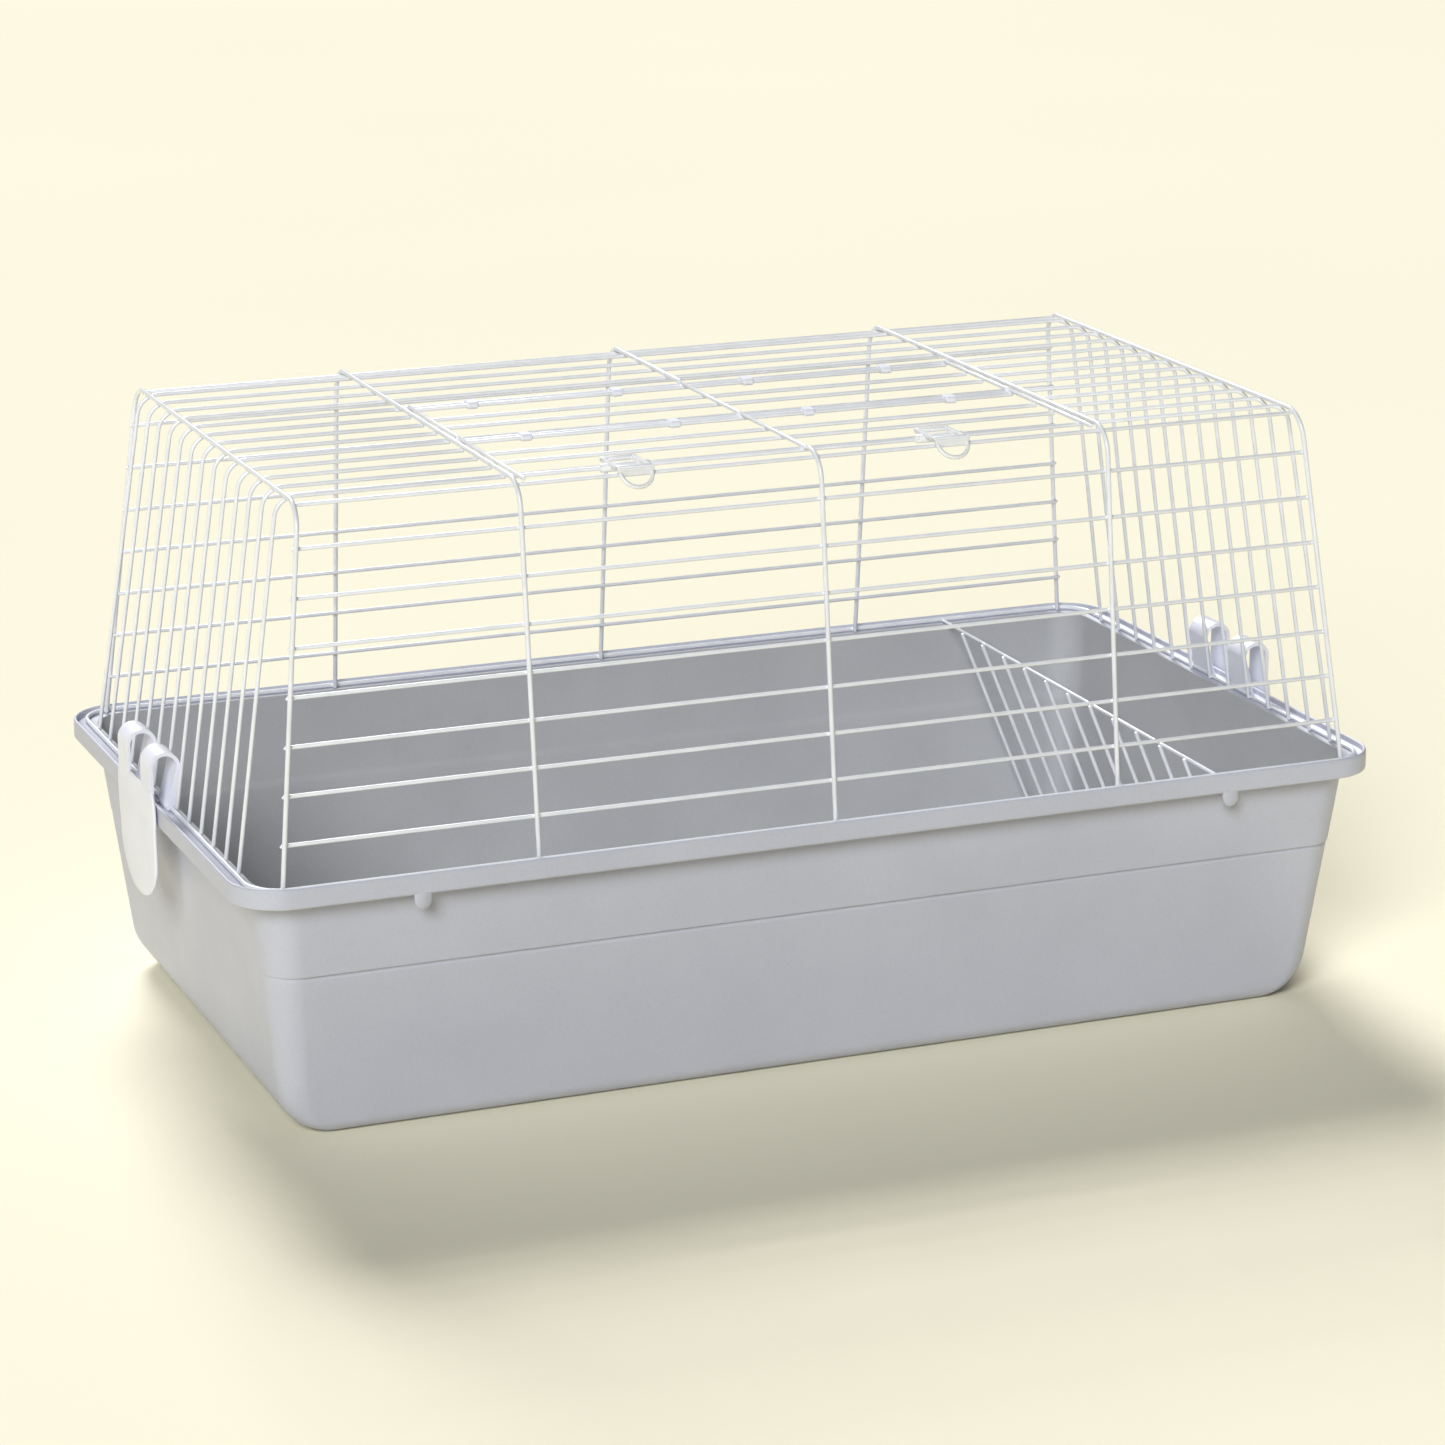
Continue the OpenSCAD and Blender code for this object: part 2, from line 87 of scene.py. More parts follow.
# ---------------------------------------------------------------- material helpers


def new_material(name):
    material = bpy.data.materials.new(name)
    material.use_nodes = True
    tree = material.node_tree
    return material, tree, tree.nodes["Principled BSDF"]


def noise(tree, scale, detail=3.0, roughness=0.5):
    """Noise that is fixed to the piece, so it moves along with it."""
    coords = tree.nodes.new("ShaderNodeTexCoord")
    texture = tree.nodes.new("ShaderNodeTexNoise")
    texture.inputs["Scale"].default_value = scale
    texture.inputs["Detail"].default_value = detail
    texture.inputs["Roughness"].default_value = roughness
    tree.links.new(coords.outputs["Object"], texture.inputs["Vector"])
    return texture.outputs["Fac"]


def ramp(tree, source, low, high, start=0.3, end=0.7):
    """Turns a value into a colour between two."""
    node = tree.nodes.new("ShaderNodeValToRGB")
    node.color_ramp.elements[0].position = start
    node.color_ramp.elements[0].color = (*low, 1)
    node.color_ramp.elements[1].position = end
    node.color_ramp.elements[1].color = (*high, 1)
    tree.links.new(source, node.inputs["Fac"])
    return node.outputs["Color"]


def level(tree, source, low, high):
    """Stretches a value from 0 to 1 between two others."""
    node = tree.nodes.new("ShaderNodeMapRange")
    node.inputs["To Min"].default_value = low
    node.inputs["To Max"].default_value = high
    tree.links.new(source, node.inputs["Value"])
    return node.outputs["Result"]


def bump(tree, source, distance, strength, under=None):
    """A bumped normal, laid over another where one is given."""
    node = tree.nodes.new("ShaderNodeBump")
    node.inputs["Distance"].default_value = distance
    node.inputs["Strength"].default_value = strength
    tree.links.new(source, node.inputs["Height"])
    if under is not None:
        tree.links.new(under, node.inputs["Normal"])
    return node.outputs["Normal"]


def multiply(tree, a, b, amount):
    """One colour darkened by another."""
    node = tree.nodes.new("ShaderNodeMix")
    node.data_type = "RGBA"
    node.blend_type = "MULTIPLY"
    node.inputs["Factor"].default_value = amount
    tree.links.new(a, node.inputs[6])
    tree.links.new(b, node.inputs[7])
    return node.outputs[2]


def tray_plastic(name, low, high, smooth, rough):
    """Grey moulded plastic: even colour with faint flow clouds, a fine grain and a few soft scuffs."""
    material, tree, shader = new_material(name)
    clouds = ramp(tree, noise(tree, 9, 4), low, high)
    specks = ramp(tree, noise(tree, 620, 2), (0.93, 0.93, 0.93), (1, 1, 1), 0.25, 0.5)
    tree.links.new(multiply(tree, clouds, specks, 1.0), shader.inputs["Base Color"])
    tree.links.new(level(tree, noise(tree, 34, 5, 0.7), smooth, rough), shader.inputs["Roughness"])
    grain = bump(tree, noise(tree, 1500, 2), 0.0001, 0.35)
    waves = bump(tree, noise(tree, 26, 2), 0.0006, 0.12, grain)
    tree.links.new(waves, shader.inputs["Normal"])
    shader.inputs["IOR"].default_value = 1.49
    return material


def wire_coat():
    """White powder coat: glossy, a little orange peel, slightly greyer in places."""
    material, tree, shader = new_material("wire_powder_coat")
    patches = ramp(tree, noise(tree, 45, 3), (0.81, 0.825, 0.865), (0.89, 0.90, 0.935))
    tree.links.new(patches, shader.inputs["Base Color"])
    tree.links.new(level(tree, noise(tree, 160, 3), 0.24, 0.40), shader.inputs["Roughness"])
    peel = bump(tree, noise(tree, 950, 2), 0.00012, 0.5)
    tree.links.new(peel, shader.inputs["Normal"])
    shader.inputs["Coat Weight"].default_value = 0.35
    shader.inputs["Coat Roughness"].default_value = 0.2
    return material


def clip_plastic():
    """White moulded plastic with a satin skin and faint flow marks."""
    material, tree, shader = new_material("clip_plastic")
    clouds = ramp(tree, noise(tree, 30, 4), (0.83, 0.84, 0.925), (0.88, 0.89, 0.965))
    tree.links.new(clouds, shader.inputs["Base Color"])
    tree.links.new(level(tree, noise(tree, 70, 4), 0.30, 0.45), shader.inputs["Roughness"])
    grain = bump(tree, noise(tree, 1800, 2), 0.00008, 0.4)
    tree.links.new(grain, shader.inputs["Normal"])
    shader.inputs["Subsurface Weight"].default_value = 0.12
    shader.inputs["Subsurface Radius"].default_value = (0.004, 0.004, 0.004)
    return material


def latch_plastic():
    """Milky, slightly see-through plastic of the finger latches."""
    material, tree, shader = new_material("latch_plastic")
    clouds = ramp(tree, noise(tree, 60, 4), (0.93, 0.94, 0.955), (0.97, 0.975, 0.985))
    tree.links.new(clouds, shader.inputs["Base Color"])
    tree.links.new(level(tree, noise(tree, 90, 3), 0.22, 0.34), shader.inputs["Roughness"])
    grain = bump(tree, noise(tree, 1400, 2), 0.00008, 0.35)
    tree.links.new(grain, shader.inputs["Normal"])
    shader.inputs["Transmission Weight"].default_value = 0.08
    shader.inputs["Subsurface Weight"].default_value = 0.35
    shader.inputs["Subsurface Radius"].default_value = (0.005, 0.005, 0.005)
    shader.inputs["IOR"].default_value = 1.47
    return material


TRAY = tray_plastic("tray_plastic", (0.530, 0.540, 0.620), (0.570, 0.580, 0.662), 0.36, 0.56)
# The darker grey of the tray's inside is painted shade: it stands in for the light that the walls keep out
TRAY_INSIDE_PAINTED_SHADE = tray_plastic("tray_plastic_painted_shade", (0.465, 0.468, 0.485), (0.515, 0.518, 0.535), 0.46, 0.66)
COAT = wire_coat()
CLIP = clip_plastic()
LATCH = latch_plastic()


# ---------------------------------------------------------------- mesh helpers


def make_object(name, points, faces, material, sharp=math.radians(35)):
    """A smooth mesh whose edges stay sharp where they turn by more than an angle."""
    mesh = bpy.data.meshes.new(name)
    mesh.from_pydata([tuple(p) for p in points], [], faces)
    mesh.validate()
    mesh.materials.append(material)
    mesh.polygons.foreach_set("use_smooth", [True] * len(mesh.polygons))
    mesh.set_sharp_from_angle(angle=sharp)
    mesh.update()
    obj = bpy.data.objects.new(name, mesh)
    bpy.context.scene.collection.objects.link(obj)
    return obj


def finish_piece(obj, body, slot, *nodes):
    """Tells the frame which body a piece rides on and the nodes that it replaces; the slot is not used."""
    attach(obj, body)
    if nodes:
        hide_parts(*nodes)
    return obj


def bent_path(corners, radius, steps=BEND_STEPS):
    """The points of a wire that runs straight between corners and turns with a round bend at each."""
    points = [Vector(corners[0])]
    for before, corner, after in zip(corners, corners[1:], corners[2:]):
        before, corner, after = Vector(before), Vector(corner), Vector(after)
        u = (corner - before).normalized()
        w = (after - corner).normalized()
        turn = u.angle(w)
        inward = (w - u * u.dot(w)).normalized()
        centre = corner - u * radius * math.tan(turn / 2) + inward * radius
        for i in range(steps + 1):
            points.append(around(centre, -inward, u, radius, turn * i / steps))
    points.append(Vector(corners[-1]))
    return points


class Mesher:
    """Collects closed shells into one mesh."""

    def __init__(self):
        self.points = []
        self.faces = []

    def add(self, points, faces):
        start = len(self.points)
        self.points.extend(points)
        self.faces.extend([tuple(start + i for i in face) for face in faces])

    def rings(self, rings, closed=False):
        """Skins a stack of equal rings; caps both ends unless the stack closes on itself."""
        count = len(rings[0])
        points = [p for ring in rings for p in ring]
        faces = []
        spans = len(rings) if closed else len(rings) - 1
        for i in range(spans):
            a, b = i * count, ((i + 1) % len(rings)) * count
            for j in range(count):
                k = (j + 1) % count
                faces.append((a + j, a + k, b + k, b + j))
        if not closed:
            faces.append(tuple(reversed(range(count))))
            faces.append(tuple(range((len(rings) - 1) * count, len(rings) * count)))
        self.add(points, faces)

    def tube(self, path, radius, sides=TUBE_SIDES, closed=False):
        """A round wire along a path, with slightly rounded ends."""
        path = [Vector(p) for p in path]
        last = len(path) - 1
        tangents = []
        for i in range(len(path)):
            before = i - 1 if closed else max(i - 1, 0)
            after = (i + 1) % len(path) if closed else min(i + 1, last)
            tangents.append((path[after] - path[before]).normalized())
        side = tangents[0].orthogonal().normalized()
        rings = []
        for i, (point, along) in enumerate(zip(path, tangents)):
            side = (side - along * side.dot(along)).normalized()
            up = along.cross(side)
            rings.append((point, along, side.copy(), up, radius))
        if not closed:
            rings = soften(rings, radius)
        self.rings([circle(point, side, up, r, sides) for point, _, side, up, r in rings], closed)

    def blob(self, centre, long_way, half_long, half_thick, sides=10, levels=6):
        """A small rounded nugget, such as a weld, stretched along one direction."""
        along = Vector(long_way).normalized()
        side = along.orthogonal().normalized()
        up = along.cross(side)
        rings = []
        for i in range(1, levels):
            a = math.pi * i / levels
            point = Vector(centre) - along * half_long * math.cos(a)
            rings.append(circle(point, side, up, half_thick * math.sin(a), sides))
        self.rings(rings)

    def build(self, name, material, sharp=math.radians(35)):
        return make_object(name, self.points, self.faces, material, sharp)


def around(centre, first, second, radius, angle):
    """The point at an angle on a circle that starts along one direction and turns toward another."""
    return centre + first * radius * math.cos(angle) + second * radius * math.sin(angle)


def circle(centre, side, up, radius, sides):
    """A closed ring of points around a centre."""
    return [around(centre, side, up, radius, 2 * math.pi * j / sides) for j in range(sides)]


def arc(x, z, radius, degrees):
    """Points on an upright circle, each as a distance across and a height."""
    angles = [math.radians(a) for a in degrees]
    return [(x + radius * math.cos(a), z + radius * math.sin(a)) for a in angles]


def rounded_rectangle(middle, first, second, half_first, half_second, corner, steps):
    """A closed ring with straight sides along two directions and a round bend at each corner."""
    ring = []
    for quarter, (a, b) in enumerate(QUARTERS):
        centre = middle + first * a * (half_first - corner) + second * b * (half_second - corner)
        for i in range(steps + 1):
            ring.append(around(centre, first, second, corner, math.pi / 2 * (quarter + i / steps)))
    return ring


def rounded_end(ring, radius, inward):
    """The rings that round one end of a tube, from its tip inward."""
    point, along, side, up, _ = ring
    lead = along * radius * 0.35 * inward
    return [(point + lead * place, along, side, up, radius * width) for place, width in END_ROUNDING]


def soften(rings, radius):
    """Takes the edge off both ends of a tube without making it longer."""
    start = rounded_end(rings[0], radius, 1)
    end = rounded_end(rings[-1], radius, -1)
    return start + rings[1:-1] + end[::-1]


def bevel(obj, width, angle):
    """Rounds the edges of a piece that are sharper than an angle."""
    modifier = obj.modifiers.new("edge_rounding", "BEVEL")
    modifier.width = width
    modifier.segments = 3
    modifier.limit_method = "ANGLE"
    modifier.angle_limit = angle
    modifier.harden_normals = False


# ---------------------------------------------------------------- tray

# Sizes in metres, with each lean as a distance out for each metre up
RIM_X, RIM_Y, RIM_Z = lo_hi("tray")[1]
WALL = 0.0026
LEDGE_Z = RIM_Z - 0.005
LIP_Z = RIM_Z - 0.017
LIP = 0.003
FLOOR_X, FLOOR_Y = 0.4555, 0.240
END_LEAN, SIDE_LEAN = 0.1208, 0.142
END_FILLET, SIDE_FILLET = 0.042, 0.015
STEP_Z, STEP_OUT, STEP_GROOVE = 0.142, 0.0016, 0.0007
WALL_CORNER, CORNER_GROWTH, RIM_CORNER = 0.020, 0.06, 0.044
MOUTH_ROUND = 0.0012
TAB_X = 0.354
CORNER_STEPS = 14


def wall_at(z, half, lean, fillet):
    """Distance of a leaning wall from the middle, with a round bend where it meets the floor."""
    slope = math.sqrt(1 + lean * lean)
    centre = half + lean * fillet - fillet * slope
    if z < fillet * (1 - lean / slope):
        return centre + math.sqrt(max(0.0, fillet**2 - (fillet - z) ** 2))
    return half + lean * z


def tray_level(z, t):
    """Half length, half width, corner radius and height of the wall, moved in by t."""
    in_x = t * (END_LEAN - math.sqrt(1 + END_LEAN**2))
    in_y = t * (SIDE_LEAN - math.sqrt(1 + SIDE_LEAN**2))
    x = wall_at(z - t, FLOOR_X + in_x, END_LEAN, END_FILLET - t)
    y = wall_at(z - t, FLOOR_Y + in_y, SIDE_LEAN, SIDE_FILLET - t)
    straight = FLOOR_Y + in_y + SIDE_LEAN * (z - t)
    rise = min(1.0, max(0.0, (z - STEP_Z + 0.0002) / 0.0006))
    corner = WALL_CORNER + CORNER_GROWTH * z - (straight - y) - t / 2
    return x, y + STEP_OUT * rise, corner, z


def rim_level(inset, z):
    """Half length, half width, corner radius and height of the rim, moved in by an inset."""
    return RIM_X - inset, RIM_Y - inset, RIM_CORNER - inset, z


def rounded_ring(x, y, corner, z, steps=CORNER_STEPS):
    """One flat level of the tray or the base wire."""
    return rounded_rectangle(ALONG_Z * z, ALONG_X, ALONG_Y, x, y, corner, steps)


def fillet_heights(start):
    """Heights up a wall's bend at the floor, closer together where it turns most."""
    steps = 16
    return [start + (END_FILLET - start) * (i / steps) ** 2 for i in range(steps + 1)]


def tray_outside(under):
    """The levels of the outer skin, from the floor up. Those beside a bend keep the wall's shading flat."""
    levels = [tray_level(z, 0) for z in fillet_heights(0) + [0.075, 0.137, STEP_Z - 0.0030]]
    for z in (STEP_Z - 0.0020, STEP_Z - 0.0004):
        x, y, corner, _ = tray_level(z, 0)
        levels.append((x, y - STEP_GROOVE, corner, z))
    return levels + [tray_level(z, 0) for z in (STEP_Z + 0.0004, STEP_Z + 0.0009, 0.146, under)]


def tray_rim(under):
    """The levels of the lip and the ledge, as insets and distances from the edges that they soften."""
    lip_bottom = (
        (LIP, 0.0020), (LIP - 0.0003, 0.0006), (LIP - 0.0009, 0.0001), (LIP / 2, 0),
        (0.0009, 0.0001), (0.0003, 0.0006), (0, 0.0016), (0, 0.0040),
    )
    rim_top = (
        (0, 0.0040), (0, 0.0018), (0.0002, 0.0010), (0.0006, 0.0004), (0.0011, 0.0001), (LIP / 2, 0),
        (0.0020, 0.0001), (0.0026, 0.0006), (0.0029, 0.0012), (LIP, 0.0020),
    )
    ledge = ((LIP, 0.0008), (LIP + 0.0002, 0.0003), (LIP + 0.0007, 0))
    levels = [rim_level(LIP, under)]
    levels += [rim_level(inset, LIP_Z + up) for inset, up in lip_bottom]
    levels += [rim_level(inset, RIM_Z - down) for inset, down in rim_top]
    return levels + [rim_level(inset, LEDGE_Z + up) for inset, up in ledge]


def tray_inside():
    """The levels of the inner skin, from the ledge down to the floor."""
    x, y, corner, _ = tray_level(LEDGE_Z, WALL)
    levels = []
    for out, z in arc(MOUTH_ROUND, LEDGE_Z - MOUTH_ROUND, MOUTH_ROUND, (90, 112.5, 135, 157.5, 180)):
        levels.append((x + out, y + out, corner + out, z))
    heights = [0.200, 0.146, STEP_Z + 0.0009, STEP_Z - 0.0007, 0.137, 0.09] + fillet_heights(WALL)[::-1]
    return levels + [tray_level(z, WALL) for z in heights]


def tray_piece():
    """The tray as one closed skin over its outside, rim and inside, and the four tabs under its lip."""
    under = LEDGE_Z - WALL
    mesher = Mesher()
    mesher.rings([rounded_ring(*level) for level in tray_outside(under) + tray_rim(under) + tray_inside()])
    for x in (-TAB_X, TAB_X):
        for side in (-1, 1):
            tray_tab(mesher, x, side)
    return paint_inside_shade(mesher.build("tray_shell", TRAY, math.radians(50)))


def paint_inside_shade(shell):
    """Gives painted shade to the inner faces and the floor: a darker grey that stands in for the light the
    walls keep out, with a duller finish.
    """
    shell.data.materials.append(TRAY_INSIDE_PAINTED_SHADE)
    floor_height, rim_band = 0.1, 0.010
    for face in shell.data.polygons:
        centre, normal = face.center, face.normal
        looks_inward = normal.x * centre.x + normal.y * centre.y < 0
        is_floor = normal.z > 0.5 and centre.z < floor_height
        in_rim = abs(centre.x) > RIM_X - rim_band or abs(centre.y) > RIM_Y - rim_band
        if (looks_inward or is_floor) and not in_rim and centre.z < LEDGE_Z:
            face.material_index = 1
    return shell


def tray_tab(mesher, x, side):
    """A small tongue with a round end under the rim."""
    radius, steps, thick, soft = 0.007, 14, 0.0026, 0.0005
    centre_z, top_z = LIP_Z - 0.005, LIP_Z + 0.002
    middle = side * (RIM_Y - LIP / 2)
    rings = []
    for depth, inset in ((-0.5, soft), (-0.5, 0), (0.5, 0), (0.5, soft)):
        r = radius - inset
        y = middle + depth * (thick if inset else thick - 2 * soft)
        round_end = arc(x, centre_z, r, [180 + 180 * i / steps for i in range(steps + 1)])
        rings.append([Vector((px, y, pz)) for px, pz in [(x + r, top_z), (x - r, top_z)] + round_end])
    mesher.rings(rings)


finish_piece(tray_piece(), "tray", "grey_plastic", "tray")


# ---------------------------------------------------------------- wire top

base_low, base_high = lo_hi("base_frame_wire")
BASE_X, BASE_Y = base_high.x - HOOP_R, base_high.y - HOOP_R
BASE_Z = (base_low.z + base_high.z) / 2
door_low, door_high = lo_hi("door_hoop_right")
end_low, end_high = lo_hi("end_hoop_right")
long_low, long_high = lo_hi("roof_long_wires")
panel_low, panel_high = lo_hi("back_panel_wires")
bar_low, bar_high = lo_hi("door_hinge_bar")

ROOF_Z = door_high.z - HOOP_R
FOOT_Z = door_low.z + HOOP_R * 0.1
FOOT_Y = door_high.y - HOOP_R
DOOR_X = (door_low.x + door_high.x) / 2
END_FOOT_X, END_ROOF_X = end_high.x - HOOP_R, end_low.x + HOOP_R
END_ROOF_Z = end_high.z - HOOP_R
LONG_Z = long_high.z - THIN_R
LONG_FOOT_X = long_high.x - THIN_R
LONG_FOOT_Z = long_low.z + THIN_R * 0.15
ROOF_PITCH = (long_low.y + THIN_R) / 3
FOOT_PITCH = (long_high.y - THIN_R) / 6
LONG_SHOULDER_X = LONG_FOOT_X - UPRIGHT_LEAN * (LONG_Z - LONG_FOOT_Z)
HINGE_Y = (bar_low.y + bar_high.y) / 2
HINGE_Z = (bar_low.z + bar_high.z) / 2
PANEL_ROWS = 7
PANEL_Z0, PANEL_Z1 = panel_low.z + THIN_R, panel_high.z - THIN_R
PANEL_Y0 = panel_high.y - THIN_R
END_HOOP_LEAN = (END_FOOT_X - END_ROOF_X) / (END_ROOF_Z - FOOT_Z)
LONG_ROWS = range(-6, 7)
# Half length and half thickness of the weld nuggets where a hoop meets other wires
PANEL_NUGGET, ROOF_NUGGET, FOOT_NUGGET = (0.0036, 0.0016), (0.0031, 0.0012), (0.0034, 0.0018)


def wire_piece(name, paths, radius, welds=()):
    """Coated wires along paths, with weld nuggets."""
    mesher = Mesher()
    for path in paths:
        mesher.tube(path, radius)
    for weld in welds:
        mesher.blob(*weld)
    return mesher.build(name, COAT)


def hoop_corners(foot_x, roof_x, top):
    """Where a hoop bends, from its back foot over the roof to its front foot."""
    shoulder = FOOT_Y - HOOP_LEAN * (top - FOOT_Z)
    return [
        (foot_x, FOOT_Y, FOOT_Z),
        (roof_x, shoulder, top),
        (roof_x, -shoulder, top),
        (foot_x, -FOOT_Y, FOOT_Z),
    ]


def panel_rows():
    """Height, distance from the middle and half length of each horizontal wire in a long panel."""
    for i in range(PANEL_ROWS):
        z = PANEL_Z0 + (PANEL_Z1 - PANEL_Z0) * i / (PANEL_ROWS - 1)
        yield z, PANEL_Y0 - HOOP_LEAN * (z - PANEL_Z0), panel_high.x - END_HOOP_LEAN * (z - PANEL_Z0)


def hoop_welds(foot_x, roof_x, top, rows):
    """Weld nuggets where the hoop crosses the panel wires, the long wires and the base wire."""
    welds = []
    lean_x = (foot_x - roof_x) / (top - FOOT_Z)
    under_roof = top - HOOP_R - WELD
    for z, y, _ in panel_rows():
        x = foot_x - lean_x * (z - FOOT_Z)
        for side in (-1, 1):
            welds.append(((x, side * (y + PANEL_NUGGET[1]), z), ALONG_X, *PANEL_NUGGET))
    for row in rows:
        welds.append(((roof_x, row * ROOF_PITCH, under_roof), ALONG_Y, *ROOF_NUGGET))
    for side in (-1, 1):
        welds.append(((foot_x, side * (FOOT_Y + FOOT_NUGGET[1]), BASE_Z), ALONG_X, *FOOT_NUGGET))
    return welds


def build_hoops():
    """The four hoops that run unbroken from foot to foot."""
    specs = (
        ("end_hoop_left", -END_FOOT_X, -END_ROOF_X, END_ROOF_Z),
        ("door_hoop_left", -DOOR_X, -DOOR_X, ROOF_Z),
        ("door_hoop_right", DOOR_X, DOOR_X, ROOF_Z),
        ("end_hoop_right", END_FOOT_X, END_ROOF_X, END_ROOF_Z),
    )
    for node, foot_x, roof_x, top in specs:
        path = bent_path(hoop_corners(foot_x, roof_x, top), HOOP_BEND)
        piece = wire_piece(node + "_bar", [path], HOOP_R, hoop_welds(foot_x, roof_x, top, LONG_ROWS))
        finish_piece(piece, "wire_top", "white_wire", node)


def build_middle_hoop():
    """The middle hoop, which stops at both edges of the roof door."""
    rear_end, front_end = HINGE_Y - 0.001, -0.2163
    rear_foot, rear_bend, front_bend, front_foot = hoop_corners(0, 0, ROOF_Z)
    rear = bent_path([rear_foot, rear_bend, (0, rear_end, ROOF_Z)], HOOP_BEND)
    front = bent_path([front_foot, front_bend, (0, front_end, ROOF_Z)], HOOP_BEND)
    welds = hoop_welds(0, 0, ROOF_Z, range(2, 7))
    piece = wire_piece("middle_hoop_bar", [rear, front], HOOP_R, welds)
    finish_piece(piece, "wire_top", "white_wire", "middle_hoop")


def build_base_wire():
    """The closed base wire, with a weld inside it at each long wire's foot."""
    ring = rounded_ring(BASE_X, BASE_Y, BASE_CORNER, BASE_Z, 10)
    mesher = Mesher()
    mesher.tube(ring, HOOP_R, closed=True)
    for side in (-1, 1):
        for row in LONG_ROWS:
            spot = (side * (BASE_X - 0.0018), row * FOOT_PITCH, BASE_Z)
            mesher.blob(spot, ALONG_Y, 0.0026, 0.0012)
    finish_piece(mesher.build("base_wire", COAT), "wire_top", "white_wire", "base_frame_wire")


def build_panels():
    """The horizontal wires of both long sides, then the wires along the roof's two bends."""
    for node, side in (("front_panel_wires", -1), ("back_panel_wires", 1)):
        paths = [[(-half, side * y, z), (half, side * y, z)] for z, y, half in panel_rows()]
        finish_piece(wire_piece(node + "_set", paths, THIN_R), "wire_top", "white_wire", node)
    for node in ("front_top_wire", "back_top_wire"):
        low, high = lo_hi(node)
        y, z = (low.y + high.y) / 2, (low.z + high.z) / 2
        path = [(low.x, y, z), (high.x, y, z)]
        finish_piece(wire_piece(node + "_bar", [path], THIN_R), "wire_top", "white_wire", node)


def long_corners(side, row):
    """Foot and shoulder of a long wire at one end of the cage."""
    return [
        (side * LONG_FOOT_X, row * FOOT_PITCH, LONG_FOOT_Z),
        (side * LONG_SHOULDER_X, row * ROOF_PITCH, LONG_Z),
    ]


def build_long_wires():
    """Four wires run from end to end over the roof, and nine at each end stop at the roof door."""
    paths = []
    for row in range(3, 7):
        corners = long_corners(-1, row) + list(reversed(long_corners(1, row)))
        paths.append(bent_path(corners, LONG_BEND))
    finish_piece(wire_piece("long_wires", paths, THIN_R), "wire_top", "white_wire", "roof_long_wires")
    for node, side in (("end_wires_left", -1), ("end_wires_right", 1)):
        paths = []
        for row in range(-6, 3):
            stop = DOOR_X - (0 if row == 2 else 0.0012)
            corners = long_corners(side, row) + [(side * stop, row * ROOF_PITCH, LONG_Z)]
            paths.append(bent_path(corners, LONG_BEND))
        finish_piece(wire_piece(node + "_set", paths, THIN_R), "wire_top", "white_wire", node)


def build_hinge_bar():
    """The bar between the door hoops that the roof door turns on."""
    welds = [((x, HINGE_Y, ROOF_Z - HOOP_R), ALONG_Y, 0.0030, 0.0014) for x in (-DOOR_X, DOOR_X)]
    path = [(bar_low.x, HINGE_Y, HINGE_Z), (bar_high.x, HINGE_Y, HINGE_Z)]
    piece = wire_piece("hinge_bar", [path], HOOP_R, welds)
    finish_piece(piece, "wire_top", "white_wire", "door_hinge_bar")


build_hoops()
build_middle_hoop()
build_base_wire()
build_panels()
build_long_wires()
build_hinge_bar()


# ---------------------------------------------------------------- roof door

CLIP_PLACES = (-0.190, -0.060, 0.060, 0.190)
FOLD = joint("front_leaf_fold")
LATCH_AXIS = joint("latch_left_pivot")
SIDE_Z = lo_hi("rear_leaf_frame")[1].z - LEAF_R
INFILL_Z = SIDE_Z - LEAF_R - THIN_R + WELD


def leaf_pieces(name, body, frame_node, wires_node, cross_y, infill_y, side_span, middle_span):
    """One leaf of the roof door: two cross wires and two sides, then the infill and the middle wire."""
    low, high = lo_hi(frame_node)
    side_x = high.x - LEAF_R
    paths = [[(low.x, y, HINGE_Z), (high.x, y, HINGE_Z)] for y in cross_y]
    paths += [[(x, side_span[0], SIDE_Z), (x, side_span[1], SIDE_Z)] for x in (-side_x, side_x)]
    mid_z = (HINGE_Z + SIDE_Z) / 2
    nugget = (0.0026, 0.0012)
    welds = [((x, y, mid_z), ALONG_X, *nugget) for x in (-side_x, side_x) for y in cross_y]
    finish_piece(wire_piece(name + "_frame", paths, LEAF_R, welds), body, "white_wire", frame_node)
    infill_x = side_x + 0.001
    mesher = Mesher()
    for y in infill_y:
        mesher.tube([(-infill_x, y, INFILL_Z), (infill_x, y, INFILL_Z)], THIN_R)
        for x in (-side_x, 0, side_x):
            mesher.blob((x, y, SIDE_Z - LEAF_R), ALONG_X, 0.0028, 0.0010)
    mesher.tube([(0, middle_span[0], SIDE_Z), (0, middle_span[1], SIDE_Z)], LEAF_R)
    for y in cross_y:
        mesher.blob((0, y, mid_z), ALONG_X, *nugget)
    finish_piece(mesher.build(name + "_infill", COAT), body, "white_wire", wires_node)


